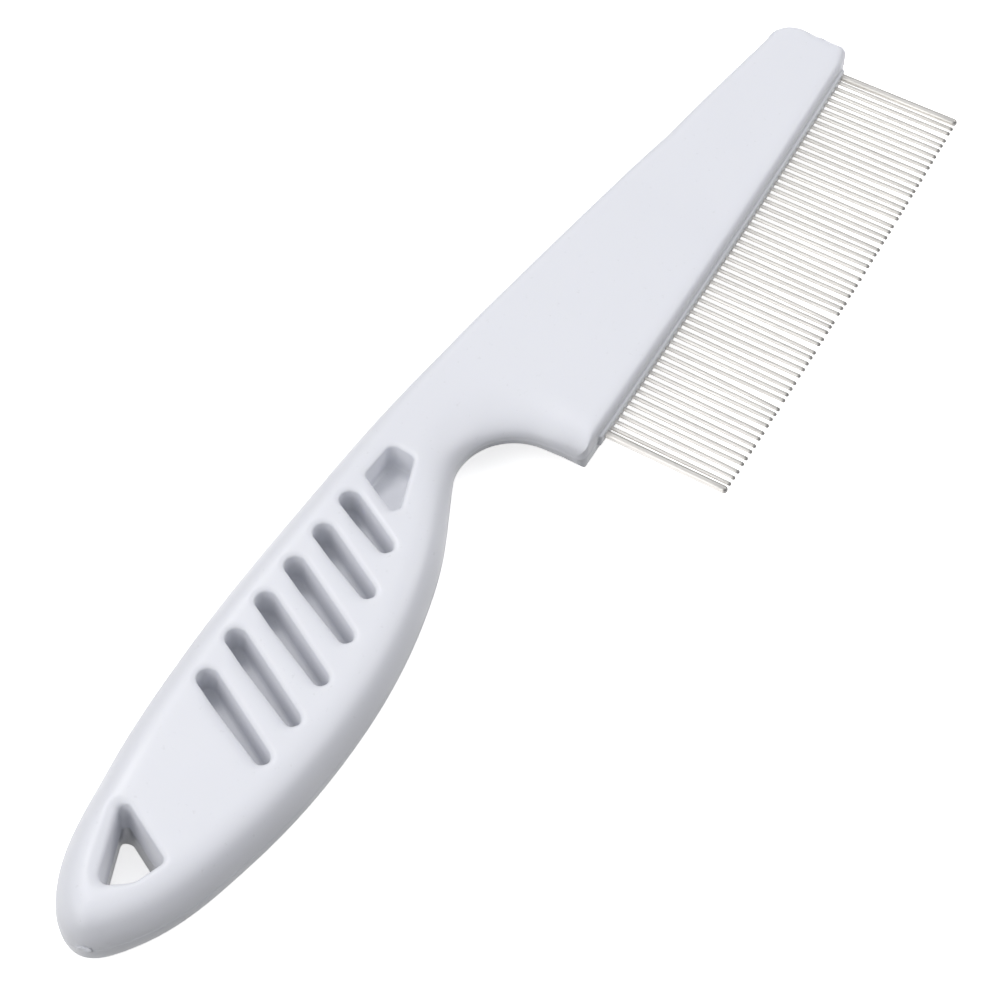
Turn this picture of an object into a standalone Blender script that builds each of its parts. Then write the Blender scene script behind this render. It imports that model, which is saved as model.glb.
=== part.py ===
"""Flea comb: a moulded plastic handle, a pin bar set in its head, and a row of steel pins.

Units are metres.  The comb is drawn lying flat, seen from above: +X runs from the handle's end to
the head's tip, the pins point to -Y, and Z is the thickness, with the parting plane at z = 0.
The drawing datum is where the guard pin next to the neck leaves the head's front face.  The last
step moves the whole comb so that the bottom centre of its bounding box is the origin.
"""

import bmesh
import bpy
from math import acos, asin, cos, pi, radians, sin, sqrt
from mathutils import Matrix, Vector
from mathutils.geometry import delaunay_2d_cdt, interpolate_bezier

MM = 0.001
SHARP_ANGLE = radians(35)           # edges that turn by more than this are shaded sharp

# ---- pins -------------------------------------------------------------------------------------
PIN_COUNT = 60                     # fine pins, between two thicker guard pins
PIN_PITCH = 1.2 * MM
PIN_DIAMETER = 0.56 * MM
GUARD_DIAMETER = 1.1 * MM
PIN_REACH = 17.7 * MM              # from the front face to the tip
PIN_ROOT = 5.0 * MM                # from the front face to the hidden end
PIN_SIDES = 8
PAIR_BRIDGE = 0.5 * MM             # thickness of the bridge that joins a pair behind the bar
PAIRED_EVERY = 15                  # one bridged pair in every fifteen fine pins
ROW_LENGTH = (PIN_COUNT + 1) * PIN_PITCH

# ---- head -------------------------------------------------------------------------------------
ROW_SAGITTA = 0.32 * MM            # the row is bowed outwards by this much over its length
ROW_RADIUS = ROW_LENGTH ** 2 / (8 * ROW_SAGITTA)
FRONT_SETBACK = 0.4 * MM           # from the face of the pin bar back to the front face of the head
HEAD_TIP_X = 76.8 * MM
HEAD_END_X = -5.6 * MM             # the end of the head beside the neck
HEAD_HALF_THICKNESS = 3.1 * MM
TIP_HALF_THICKNESS = 2.8 * MM
FRONT_EDGE_WIDTH = 1.7 * MM        # the rounded edge over the front face: how far it reaches in
FRONT_EDGE_DROP = 1.5 * MM         # and how far it drops
FRONT_CORNER = 1.3 * MM            # radius of both ends of the front face, seen from above
TIP_RELIEF_X = 73.4 * MM           # past here the front face leans back towards the tip
TIP_RELIEF = 0.7 * MM

# ---- handle -----------------------------------------------------------------------------------
HANDLE_END_X = -97.6 * MM
HANDLE_HALF_THICKNESS = 5.2 * MM
SHOULDER_X = -34.0 * MM            # the flat of the handle ends here and slopes down to the head
HANDLE_EDGE = 4.4 * MM             # width of the rounded edge of the handle
HEAD_EDGE = 1.2 * MM               # width of the rounded edge of the head's back and tip
PARTING_LAND = 0.4 * MM            # half height of the upright band along the parting line
NECK_CENTRE = (-14.15 * MM, 5.7 * MM)
NECK_RADIUS = 8.35 * MM

# ---- recesses ---------------------------------------------------------------------------------
SLOT_FIRST_X = -31.1 * MM
SLOT_PITCH = 6.6 * MM
SLOT_CENTRES_Y = (18.5 * MM, 17.95 * MM, 17.75 * MM, 17.75 * MM, 17.95 * MM, 18.15 * MM)
SLOT_LENGTHS = (10.8 * MM, 12.85 * MM, 14.6 * MM, 15.6 * MM, 16.0 * MM, 15.45 * MM)
SLOT_WIDTH = 2.9 * MM
SLOT_ANGLE = radians(-120.3)
RECESS_DEPTH = 4.2 * MM
RECESS_DRAFT = 0.2 * MM            # how much smaller a recess is at its floor than at its mouth
WEDGE_CORNERS = (
    (-18.7 * MM, 18.4 * MM), (-18.3 * MM, 22.1 * MM), (-24.6 * MM, 22.5 * MM), (-28.4 * MM, 15.4 * MM),
)
WEDGE_RADII = (1.1 * MM, 1.2 * MM, 1.0 * MM, 0.8 * MM)
HANG_CORNERS = (
    (-79.6 * MM, 24.1 * MM), (-91.6 * MM, 20.1 * MM), (-89.2 * MM, 16.4 * MM), (-84.9 * MM, 14.7 * MM),
)
HANG_RADII = (0.9 * MM, 1.4 * MM, 3.0 * MM, 0.9 * MM)
HANG_DRAFT = 0.15 * MM

# ---- pin bar ----------------------------------------------------------------------------------
BAR_HEIGHT = 2.0 * MM
BAR_DEPTH = 4.3 * MM
BAR_START_X = -1.6 * MM
BAR_END_X = ROW_LENGTH + 0.7 * MM
GROOVE_DEPTH = 5.5 * MM
FIT_GAP = 0.3 * MM                 # clearance between the bar and its groove
PIN_GAP = 0.06 * MM                # clearance between a pin and its hole in the bar


# ---- plane curves -----------------------------------------------------------------------------

def arc(centre, radius, start, end, steps):
    """Points on a circular arc, from one angle in degrees to another."""
    turn = [radians(start + (end - start) * i / steps) for i in range(steps + 1)]
    return [Vector((centre[0] + radius * cos(t), centre[1] + radius * sin(t))) for t in turn]


def bezier(start, start_heading, end, end_heading, steps):
    """A smooth curve between two points with a heading in degrees at each; it leaves out its ends."""
    a = Vector(start)
    b = Vector(end)
    reach = (b - a).length / 3
    leave = a + reach * Vector((cos(radians(start_heading)), sin(radians(start_heading))))
    arrive = b - reach * Vector((cos(radians(end_heading)), sin(radians(end_heading))))
    points = interpolate_bezier(a.to_3d(), leave.to_3d(), arrive.to_3d(), b.to_3d(), steps + 1)
    return [p.to_2d() for p in points[1:-1]]


def rounded_polygon(corners, radii, steps):
    """A polygon, counter-clockwise, with each corner turned into an arc."""
    points = []
    for i, corner in enumerate(corners):
        here = Vector(corner)
        back = (Vector(corners[i - 1]) - here).normalized()
        ahead = (Vector(corners[(i + 1) % len(corners)]) - here).normalized()
        half = acos(max(-1.0, min(1.0, back.dot(ahead)))) / 2
        middle = (back + ahead).normalized()
        centre = here + middle * (radii[i] / sin(half))
        first = back * (radii[i] / (sin(half) / cos(half))) + here - centre
        sweep = pi - 2 * half
        for step in range(steps + 1):
            turned = first.copy()
            turned.rotate(Matrix.Rotation(sweep * step / steps, 2))
            points.append(centre + turned)
    return points


def capsule(centre, length, width, angle, steps):
    """A slot outline with round ends, counter-clockwise."""
    radius = width / 2
    along = Vector((cos(angle), sin(angle)))
    middle = Vector(centre)
    reach = along * (length / 2 - radius)
    heading = angle * 180 / pi
    far_end = arc(middle + reach, radius, heading - 90, heading + 90, steps)
    near_end = arc(middle - reach, radius, heading + 90, heading + 270, steps)
    return far_end + near_end


def inset(points, distance):
    """A counter-clockwise closed outline moved inwards by a distance."""
    moved = []
    for i, here in enumerate(points):
        ahead = (points[(i + 1) % len(points)] - here).normalized()
        behind = (here - points[i - 1]).normalized()
        normal = Vector((-ahead.y - behind.y, ahead.x + behind.x)).normalized()
        moved.append(here + normal * distance)
    return moved


# ---- the handle's outline -----------------------------------------------------------------------

def row_y(x):
    """The bowed line where the pins leave the pin bar; zero at both guard pins."""
    off_middle = x - ROW_LENGTH / 2
    crown = ROW_RADIUS - ROW_SAGITTA
    return crown - sqrt(ROW_RADIUS ** 2 - off_middle ** 2)


def front_face_y(x):
    """The front face of the head: parallel to the row, and leaning back past the guard pin."""
    relief = TIP_RELIEF * max(0.0, x - TIP_RELIEF_X) / (HEAD_TIP_X - TIP_RELIEF_X)
    return row_y(x) + FRONT_SETBACK + relief


def soft_edges():
    """Tip, back, handle and neck: every edge of the outline but the front face, with a wide or
    narrow rounding.  It runs counter-clockwise and starts and ends below the front face."""
    tip_corner = 4.0 * MM
    knots = (                                  # x, y, heading in degrees, steps from the knot before
        (72.4 * MM, 11.95 * MM, 170.2, 0),
        (-2.0 * MM, 24.6 * MM, 171.3, 14),
        (-27.2 * MM, 27.5 * MM, 175.5, 6),
        (-57.2 * MM, 29.15 * MM, 180.0, 7),
        (-76.7 * MM, 28.35 * MM, 186.5, 5),
        (-91.3 * MM, 25.75 * MM, 202.5, 5),
        (HANDLE_END_X, 19.4 * MM, 270.0, 7),
        (-92.6 * MM, 13.4 * MM, 325.5, 6),
        (-76.5 * MM, 7.5 * MM, 346.5, 6),
        (-53.3 * MM, 4.95 * MM, 360.0, 6),
        (-31.8 * MM, 7.75 * MM, 374.5, 6),
        (-17.28 * MM, 13.44 * MM, 382.0, 5),
    )
    points = [Vector((HEAD_TIP_X, y)) for y in (-2.0 * MM, 2.0 * MM, 4.8 * MM)]
    points += arc((HEAD_TIP_X - tip_corner, 8.0 * MM), tip_corner, 0, 80, 7)[:-1]
    for before, knot in zip(knots, knots[1:]):
        points.append(Vector(before[:2]))
        points += bezier(before[:2], before[2], knot[:2], knot[2], knot[3])
    points += arc(NECK_CENTRE, NECK_RADIUS, 112, 2, 11)
    points += [Vector((HEAD_END_X, y)) for y in (3.6 * MM, 1.2 * MM, -2.0 * MM)]
    return points


def smooth_step(value, low, high):
    """0 below low, 1 above high, and a smooth rise between them."""
    t = max(0.0, min(1.0, (value - low) / (high - low)))
    return t * t * (3 - 2 * t)


def half_thickness(x):
    """Flat along the handle, sloping down through the neck, and a slight taper along the head."""
    head = HEAD_HALF_THICKNESS + (TIP_HALF_THICKNESS - HEAD_HALF_THICKNESS) * max(0.0, x) / HEAD_TIP_X
    return HANDLE_HALF_THICKNESS + (head - HANDLE_HALF_THICKNESS) * smooth_step(x, SHOULDER_X, 2.0 * MM)


def edge_width(point):
    """Width of the rounded edge: wide round the handle and the neck, narrow round the head."""
    on_back = smooth_step(point.y, 13.0 * MM, 18.0 * MM)
    on_tip = smooth_step(point.x, 30.0 * MM, 60.0 * MM)
    narrow = max(on_back * smooth_step(point.x, -34.0 * MM, 12.0 * MM), on_tip)
    return HANDLE_EDGE + (HEAD_EDGE - HANDLE_EDGE) * narrow


def nearest_edge(point, edges):
    """Distance from a point to the soft edges, and the rounding's width at the nearest place."""
    best = 1.0
    width = HEAD_EDGE
    for a, b in zip(edges, edges[1:]):
        span = b - a
        t = max(0.0, min(1.0, (point - a).dot(span) / span.length_squared))
        place = a + span * t
        distance = (point - place).length
        if distance < best:
            best = distance
            width = edge_width(place)
    return best, width


def quarter_ellipse(distance, width, low, high):
    """Height of a rounded edge at a distance in from its foot."""
    t = 1 - min(1.0, distance / width)
    return low + (high - low) * sqrt(max(0.0, 1 - t * t))


def top_height(point, edges, front):
    """Height of the upper surface over the parting plane, without the recesses."""
    full = half_thickness(point.x)
    distance, width = nearest_edge(point, edges)
    land = PARTING_LAND
    if width < HANDLE_EDGE:
        blend = (HANDLE_EDGE - width) / (HANDLE_EDGE - HEAD_EDGE)
        land += (full - HEAD_EDGE - PARTING_LAND) * blend
    soft = quarter_ellipse(distance, width, land, full)
    from_front, _ = nearest_edge(point, front)
    over_front = quarter_ellipse(from_front, FRONT_EDGE_WIDTH, full - FRONT_EDGE_DROP, full)
    return min(soft, over_front)


def front_edge():
    """The front face of the head seen from above, with the rounded corner at each end."""
    steps = 20
    neck_x = HEAD_END_X + FRONT_CORNER
    tip_x = HEAD_TIP_X - FRONT_CORNER
    stations = [neck_x + (tip_x - neck_x) * i / steps for i in range(1, steps)]
    points = arc((neck_x, front_face_y(neck_x) + FRONT_CORNER), FRONT_CORNER, 180, 270, 4)
    points += [Vector((x, front_face_y(x))) for x in stations]
    return points + arc((tip_x, front_face_y(tip_x) + FRONT_CORNER), FRONT_CORNER, 282, 360, 4)


def comb_outline(edges, front):
    """The closed outline of the moulding: the soft edges down to the front face, and that face."""
    above = [p for p in edges if p.y > front[-1].y + 0.5 * MM]
    return above + front


# ---- meshes -------------------------------------------------------------------------------------

def new_object(name, bm):
    """A smooth-shaded object from a bmesh, which is then freed."""
    bmesh.ops.recalc_face_normals(bm, faces=bm.faces)
    mesh = bpy.data.meshes.new(name)
    bm.to_mesh(mesh)
    bm.free()
    mesh.shade_smooth()
    mesh.set_sharp_from_angle(angle=SHARP_ANGLE)
    piece = bpy.data.objects.new(name, mesh)
    bpy.context.collection.objects.link(piece)
    return piece


def add_loft(bm, outlines, heights):
    """A closed body through outlines of equal point count at rising heights, with flat ends."""
    rings = [[bm.verts.new((p.x, p.y, z)) for p in outline] for outline, z in zip(outlines, heights)]
    for low, high in zip(rings, rings[1:]):
        for i in range(len(low)):
            j = (i + 1) % len(low)
            bm.faces.new((low[i], low[j], high[j], high[i]))
    bm.faces.new(reversed(rings[0]))
    bm.faces.new(rings[-1])


def cutter(name, bm):
    """A hidden tool body."""
    tool = new_object(name, bm)
    tool.hide_render = True
    tool.display_type = "WIRE"
    return tool


def combine(piece, tool, operation):
    """Cut a tool's shape out of a piece, or join it on, and drop the tool."""
    change = piece.modifiers.new(tool.name, "BOOLEAN")
    change.operation = operation
    change.solver = "EXACT"
    change.object = tool
    bpy.context.view_layer.update()
    shape = bpy.data.meshes.new_from_object(piece.evaluated_get(bpy.context.evaluated_depsgraph_get()))
    piece.modifiers.clear()
    piece.data = shape
    shape.set_sharp_from_angle(angle=SHARP_ANGLE)
    bpy.data.objects.remove(tool)


def material(name, colour, roughness, metallic):
    """A plain Principled material."""
    made = bpy.data.materials.new(name)
    made.use_nodes = True
    shader = made.node_tree.nodes["Principled BSDF"]
    shader.inputs["Base Color"].default_value = (*colour, 1.0)
    shader.inputs["Roughness"].default_value = roughness
    shader.inputs["Metallic"].default_value = metallic
    made.diffuse_color = (*colour, 1.0)
    return made


# ---- the sub-parts ------------------------------------------------------------------------------

def handle_blank():
    """The whole moulding without recesses: two domed faces, mirrored about the parting plane."""
    edges = soft_edges()
    front = front_edge()
    outline = comb_outline(edges, front)
    border = [(i, (i + 1) % len(outline)) for i in range(len(outline))]
    points = list(outline)
    links = list(border)
    for row in edge_rows(edges) + front_rows() + face_grid():
        add_row(points, links, row, outline)
    places, _, faces, *_ = delaunay_2d_cdt(points, links, [], 1, 1e-7)
    bm = bmesh.new()
    tops = []
    bottoms = []
    for p in places:
        height = top_height(p, edges, front)
        tops.append(bm.verts.new((p.x, p.y, height)))
        bottoms.append(bm.verts.new((p.x, p.y, -height)))
    for face in faces:
        bm.faces.new([tops[i] for i in face])
        bm.faces.new([bottoms[i] for i in reversed(face)])
    for a, b in border:
        bm.faces.new((tops[b], tops[a], bottoms[a], bottoms[b]))
    return new_object("handle", bm)


def edge_rows(edges):
    """Rows of points that run along the rounded edges, closer together towards the outside."""
    rows = []
    for share in (0.07, 0.25, 0.55, 1.0):
        row = []
        for i in range(1, len(edges) - 1):
            span = (edges[i + 1] - edges[i - 1]).normalized()
            row.append(edges[i] + Vector((-span.y, span.x)) * edge_width(edges[i]) * share)
        rows.append(row)
    return rows


def front_rows():
    """Rows of points that run along the rounded edge of the head's front face."""
    steps = 20
    rows = []
    for share in (0.12, 0.45, 1.0):
        stations = [HEAD_END_X + (HEAD_TIP_X - HEAD_END_X) * i / steps for i in range(1, steps)]
        rows.append([Vector((x, front_face_y(x) + FRONT_EDGE_WIDTH * share)) for x in stations])
    return rows


def face_grid():
    """Single points spread over the faces, each a row of its own."""
    spacing = 6.0 * MM
    grid = []
    for i in range(30):
        for j in range(5):
            grid.append([Vector((HANDLE_END_X + spacing * (i + 0.5), spacing * (j + 0.5)))])
    return grid


def add_row(points, links, row, outline):
    """Take a row's points that lie inside the outline, clear of it and of the points so far, and
    link those that are neighbours."""
    apart = 0.2 * MM if len(row) > 1 else 2.0 * MM
    closed = outline + outline[:1]
    earlier = points[len(outline):]
    last = None
    for p in row:
        free = inside(p, outline) and nearest_edge(p, closed)[0] > 0.1 * MM
        if free and all((p - q).length > apart for q in earlier):
            points.append(p)
            if last is not None:
                links.append((last, len(points) - 1))
            last = len(points) - 1
        else:
            last = None


def inside(point, outline):
    """Whether a point lies inside a closed outline."""
    crossings = 0
    for a, b in zip(outline, outline[1:] + outline[:1]):
        if (a.y > point.y) != (b.y > point.y):
            if point.x < a.x + (point.y - a.y) / (b.y - a.y) * (b.x - a.x):
                crossings += 1
    return crossings % 2 == 1


def recess_cutter(name, outline, side):
    """A blind recess with drafted walls and a rounded floor edge, open on one face of the handle."""
    above = 1.0 * MM
    fillet = 0.5 * MM
    web = HANDLE_HALF_THICKNESS - RECESS_DEPTH
    heights = [web, web + 0.3 * fillet, web + fillet, HANDLE_HALF_THICKNESS + above]
    insets = [RECESS_DRAFT + fillet, RECESS_DRAFT + 0.3 * fillet, RECESS_DRAFT * 0.9, -RECESS_DRAFT * 0.25]
    rings = [inset(outline, distance) for distance in insets]
    bm = bmesh.new()
    if side > 0:
        add_loft(bm, rings, heights)
    else:
        add_loft(bm, rings[::-1], [-z for z in heights[::-1]])
    return cutter(name, bm)


def cut_recesses(handle):
    """Six slanted slots and one wedge on both faces."""
    outlines = []
    for i, length in enumerate(SLOT_LENGTHS):
        centre = (SLOT_FIRST_X - SLOT_PITCH * i, SLOT_CENTRES_Y[i])
        outlines.append(capsule(centre, length, SLOT_WIDTH, SLOT_ANGLE, 6))
    outlines.append(rounded_polygon(WEDGE_CORNERS, WEDGE_RADII, 4))
    for i, outline in enumerate(outlines):
        for side in (1, -1):
            combine(handle, recess_cutter(f"recess_{i}", outline, side), "DIFFERENCE")


def cut_hang_hole(handle):
    """A through hole for a hook, narrowest at the parting plane."""
    mouth = rounded_polygon(HANG_CORNERS, HANG_RADII, 4)
    reach = HANDLE_HALF_THICKNESS + 1.0 * MM
    bm = bmesh.new()
    add_loft(bm, [mouth, inset(mouth, HANG_DRAFT), mouth], [-reach, 0.0, reach])
    combine(handle, cutter("hang_hole", bm), "DIFFERENCE")


def strip(name, x_start, x_end, y_front, y_back, height):
    """A bar that follows the bowed row."""
    steps = 12
    stations = [x_start + (x_end - x_start) * i / steps for i in range(steps + 1)]
    front = [Vector((x, row_y(x) + y_front)) for x in stations]
    back = [Vector((x, row_y(x) + y_back)) for x in reversed(stations)]
    bm = bmesh.new()
    add_loft(bm, [front + back] * 2, [-height / 2, height / 2])
    return new_object(name, bm)


def cut_groove(handle):
    """The groove in the head's front face that the pin bar sits in."""
    height = BAR_HEIGHT + 2 * FIT_GAP
    tool = strip("groove", BAR_START_X - FIT_GAP, BAR_END_X + FIT_GAP, -2.0 * MM, GROOVE_DEPTH, height)
    combine(handle, tool, "DIFFERENCE")


def pin_places():
    """Place and direction of every pin, guards first and last: they stand square to the front face."""
    places = []
    for i in range(PIN_COUNT + 2):
        x = i * PIN_PITCH
        lean = asin((x - ROW_LENGTH / 2) / ROW_RADIUS)
        places.append((Vector((x, row_y(x), 0.0)), Vector((sin(lean), -cos(lean), 0.0))))
    return places


def add_pin(bm, foot, direction, diameter, root, reach, tip=True):
    """A wire along a direction, from its hidden root to its rounded tip."""
    radius = diameter / 2
    across = Vector((direction.y, -direction.x, 0.0))
    sections = [(-root, radius), (reach, radius)]
    if tip:
        sections = sections[:1]
        for turn in (0.0, radians(35), radians(68)):
            sections.append((reach - radius * (1 - sin(turn)), radius * cos(turn)))
    rings = []
    for along, size in sections:
        ring = []
        for k in range(PIN_SIDES):
            turn = 2 * pi * (k + 0.5) / PIN_SIDES
            off_axis = across * size * cos(turn) + Vector((0.0, 0.0, size * sin(turn)))
            ring.append(bm.verts.new(foot + direction * along + off_axis))
        rings.append(ring)
    for low, high in zip(rings, rings[1:]):
        for k in range(PIN_SIDES):
            j = (k + 1) % PIN_SIDES
            bm.faces.new((low[k], low[j], high[j], high[k]))
    bm.faces.new(reversed(rings[0]))
    bm.faces.new(rings[-1])


def pin_bar(places):
    """The moulded strip that holds the pins: one through hole for each."""
    bar = strip("pin_bar", BAR_START_X, BAR_END_X, 0.0, BAR_DEPTH, BAR_HEIGHT)
    bm = bmesh.new()
    for i, (foot, direction) in enumerate(places):
        diameter = GUARD_DIAMETER if i in (0, len(places) - 1) else PIN_DIAMETER
        add_pin(bm, foot, direction, diameter + 2 * PIN_GAP, BAR_DEPTH + 1.0 * MM, 1.0 * MM, tip=False)
    combine(bar, cutter("pin_holes", bm), "DIFFERENCE")
    return bar


def single_pin(name, place, diameter):
    """One pin."""
    bm = bmesh.new()
    add_pin(bm, *place, diameter, PIN_ROOT, PIN_REACH)
    return new_object(name, bm)


def bridged_pair(name, first, second):
    """Two neighbouring pins with their roots joined by a short bridge behind the bar."""
    pair = single_pin(name, first, PIN_DIAMETER)
    combine(pair, single_pin("second", second, PIN_DIAMETER), "UNION")
    middle = (first[0] + second[0]) / 2 + Vector((0.0, PIN_ROOT - PAIR_BRIDGE / 2, 0.0))
    size = (PIN_PITCH, PAIR_BRIDGE * 0.8, PAIR_BRIDGE * 0.8)
    bm = bmesh.new()
    bmesh.ops.create_cube(bm, size=1.0, matrix=Matrix.Translation(middle) @ Matrix.Diagonal((*size, 1.0)))
    combine(pair, cutter("bridge", bm), "UNION")
    return pair


def fine_pins(places):
    """The fine pins: mostly one to a piece, with one bridged pair in every fifteen."""
    made = []
    i = 1
    while i <= PIN_COUNT:
        if i % PAIRED_EVERY == PAIRED_EVERY // 2:
            made.append(bridged_pair(f"pin_pair_{i:02d}_{i + 1:02d}", places[i], places[i + 1]))
            i += 2
        else:
            made.append(single_pin(f"pin_{i:02d}", places[i], PIN_DIAMETER))
            i += 1
    return made


def rest_on_origin(pieces):
    """Move everything so that the bottom centre of the bounding box is the origin."""
    corners = [v.co for piece in pieces for v in piece.data.vertices]
    low = Vector([min(c[k] for c in corners) for k in range(3)])
    high = Vector([max(c[k] for c in corners) for k in range(3)])
    shift = Vector((-(low.x + high.x) / 2, -(low.y + high.y) / 2, -low.z))
    for piece in pieces:
        piece.data.transform(Matrix.Translation(shift))


def build():
    for old in list(bpy.data.objects):
        bpy.data.objects.remove(old)
    plastic = material("white_plastic", (0.80, 0.81, 0.85), 0.28, 0.0)
    bar_plastic = material("bar_plastic", (0.78, 0.79, 0.83), 0.35, 0.0)
    steel = material("pin_steel", (0.78, 0.77, 0.75), 0.22, 1.0)
    places = pin_places()
    handle = handle_blank()
    cut_recesses(handle)
    cut_hang_hole(handle)
    cut_groove(handle)
    bar = pin_bar(places)
    pins = [single_pin("guard_pin_neck", places[0], GUARD_DIAMETER)]
    pins += fine_pins(places)
    pins.append(single_pin("guard_pin_tip", places[-1], GUARD_DIAMETER))
    for piece, look in [(handle, plastic), (bar, bar_plastic)] + [(pin, steel) for pin in pins]:
        piece.data.materials.clear()
        piece.data.materials.append(look)
    rest_on_origin([handle, bar] + pins)


build()
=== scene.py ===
from math import acos, asin, cos, pi, radians, sin, sqrt

import bmesh
import bpy
import numpy as np
from mathutils import Matrix, Vector
from mathutils.geometry import delaunay_2d_cdt


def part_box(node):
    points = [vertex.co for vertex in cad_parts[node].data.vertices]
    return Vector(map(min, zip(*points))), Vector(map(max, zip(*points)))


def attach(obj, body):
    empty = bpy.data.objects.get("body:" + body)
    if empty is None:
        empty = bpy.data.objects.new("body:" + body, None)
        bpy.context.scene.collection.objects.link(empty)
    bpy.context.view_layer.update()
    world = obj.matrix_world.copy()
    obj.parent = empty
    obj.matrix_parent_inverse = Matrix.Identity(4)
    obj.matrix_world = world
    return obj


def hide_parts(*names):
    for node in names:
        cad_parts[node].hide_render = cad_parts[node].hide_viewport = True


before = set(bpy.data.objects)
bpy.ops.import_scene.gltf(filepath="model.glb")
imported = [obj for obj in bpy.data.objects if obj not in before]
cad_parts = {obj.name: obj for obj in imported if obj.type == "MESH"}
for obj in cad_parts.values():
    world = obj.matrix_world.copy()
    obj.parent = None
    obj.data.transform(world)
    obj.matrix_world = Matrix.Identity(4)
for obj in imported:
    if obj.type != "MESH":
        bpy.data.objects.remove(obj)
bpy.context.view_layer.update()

# A flea comb lying flat: a satin white moulding, the pin bar in its head, and its steel pins.
# Shapes are worked out in millimetres from the drawing datum, which is where the guard pin next to
# the neck leaves the pin bar: +X to the head's tip, pins to -Y, z = 0 at the parting plane.

MM = 0.001

# ---- the drawing, in millimetres ----------------------------------------------------------------

# the row of pins
PIN_COUNT = 60
PIN_PITCH = 1.2
PIN_RADIUS = 0.28
GUARD_RADIUS = 0.55
PIN_REACH = 17.7
PIN_ROOT = 5.0
ROW_LENGTH = (PIN_COUNT + 1) * PIN_PITCH
ROW_SAGITTA = 0.32
ROW_RADIUS = ROW_LENGTH ** 2 / (8 * ROW_SAGITTA)
WIRE_SIDES = 16
STRAY_ACROSS = 0.06                # spread of the pins' small bends, along the row and up or down
STRAY_UP = 0.09
KNOCKED = {13: -0.22, 14: 0.16, 27: -0.30, 28: 0.14, 43: -0.26, 44: 0.20, 58: -0.15}

# the outline of the handle and the head
HEAD_TIP_X = 76.8
HEAD_END_X = -5.6
HANDLE_END_X = -97.6
TIP_CORNER = 4.0
NECK_CENTRE = (-14.15, 5.7)
NECK_RADIUS = 8.35
EDGE_KNOTS = (                     # x, y and heading in degrees, from the tip round to the neck
    (72.4, 11.95, 170.2),
    (-2.0, 24.6, 171.3),
    (-27.2, 27.5, 175.5),
    (-57.2, 29.15, 180.0),
    (-76.7, 28.35, 186.5),
    (-91.3, 25.75, 202.5),
    (HANDLE_END_X, 19.4, 270.0),
    (-92.6, 13.4, 325.5),
    (-76.5, 7.5, 346.5),
    (-53.3, 4.95, 360.0),
    (-31.8, 7.75, 374.5),
    (-17.28, 13.44, 382.0),
)
FRONT_SETBACK = 0.4
TIP_RELIEF_X = 73.4
TIP_RELIEF = 0.7
FRONT_CORNER = 1.3

# half thicknesses, and the rounding of the edges
HEAD_HALF = 3.1
TIP_HALF = 2.8
HANDLE_HALF = 5.2
SHOULDER_X = -34.0                 # where the handle starts to slope down to the head
SLOPE_END_X = 2.0
HANDLE_EDGE = 4.4
HEAD_EDGE = 1.2
FRONT_EDGE_WIDTH = 1.7
FRONT_EDGE_DROP = 1.5
EDGE_FULLNESS = 2.4                # 2 would make the rounded edge an ellipse
ARCH_FULLNESS = 1.7
BACK_EDGE_Y = (13.0, 18.0)         # the edge turns narrow over these runs, on the back
BACK_EDGE_X = (-34.0, 12.0)
TIP_EDGE_X = (30.0, 60.0)          # and on the front, towards the tip
ARCH_EDGE = 3.4                    # how much wider the edge is at the neck arch
ARCH_MIDDLE = (-9.0, 11.0)
ARCH_REACH = 7.0
PARTING_LAND = 0.4
RIDGE_RISE = 0.055                 # the parting line stands this far out, within this half height
RIDGE_FOOT = 0.17
RIDGE_TOP = 0.08

# the recesses and the hanging hole
SLOT_FIRST_X = -31.1
SLOT_PITCH = 6.6
SLOT_CENTRES_Y = (18.5, 17.95, 17.75, 17.75, 17.95, 18.15)
SLOT_LENGTHS = (10.8, 12.85, 14.6, 15.6, 16.0, 15.45)
SLOT_WIDTH = 2.9
SLOT_ANGLE = radians(-120.3)
WEDGE_CORNERS = ((-18.7, 18.4), (-18.3, 22.1), (-24.6, 22.5), (-28.4, 15.4))
WEDGE_RADII = (1.1, 1.2, 1.0, 0.8)
HANG_CORNERS = ((-79.6, 24.1), (-91.6, 20.1), (-89.2, 16.4), (-84.9, 14.7))
HANG_RADII = (0.9, 1.4, 3.0, 0.9)
HANG_DRAFT = 0.3
MOUTH_WIDTHS = (0.85, 1.75)        # of the rounded mouth, at its crisp and at its soft side
MOUTH_DROPS = (0.4, 0.95)
MOUTH_SOFT_SIDE = (-0.5, 0.866)
SLOT_TAPER = 0.8                   # a slot is this much narrower away from its back end
SLOT_TAPER_RUN = (2.0, 6.0)        # runs are measured along the recess, from its start
SLOT_SOFT_RUN = (1.5, 5.5)
WEDGE_START = (-18.5, 20.2)
WEDGE_HEADING = (-0.8, -0.6)
WEDGE_SOFT_RUN = (3.0, 8.0)
WEDGE_CLIMB_RUN = (2.0, 10.5)
WALL_DRAFT = 0.2
FLOOR_FILLET = 0.5
WEB = 0.5                          # half of what is left between the recesses of the two faces

# the stub of the runner
GATE_PLACE = (-97.4, 18.3, 0.35)
GATE_SIZE = (0.66, 1.0, 0.6)
GATE_TURN = radians(12)

# the pin bar and its groove
BAR_START_X = -1.6
BAR_END_X = ROW_LENGTH + 0.7
BAR_HALF = 1.0
BAR_DEPTH = 4.3
BAR_EDGE = 0.28
GROOVE_DEPTH = 4.6
GROOVE_GAP = 0.05

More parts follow.
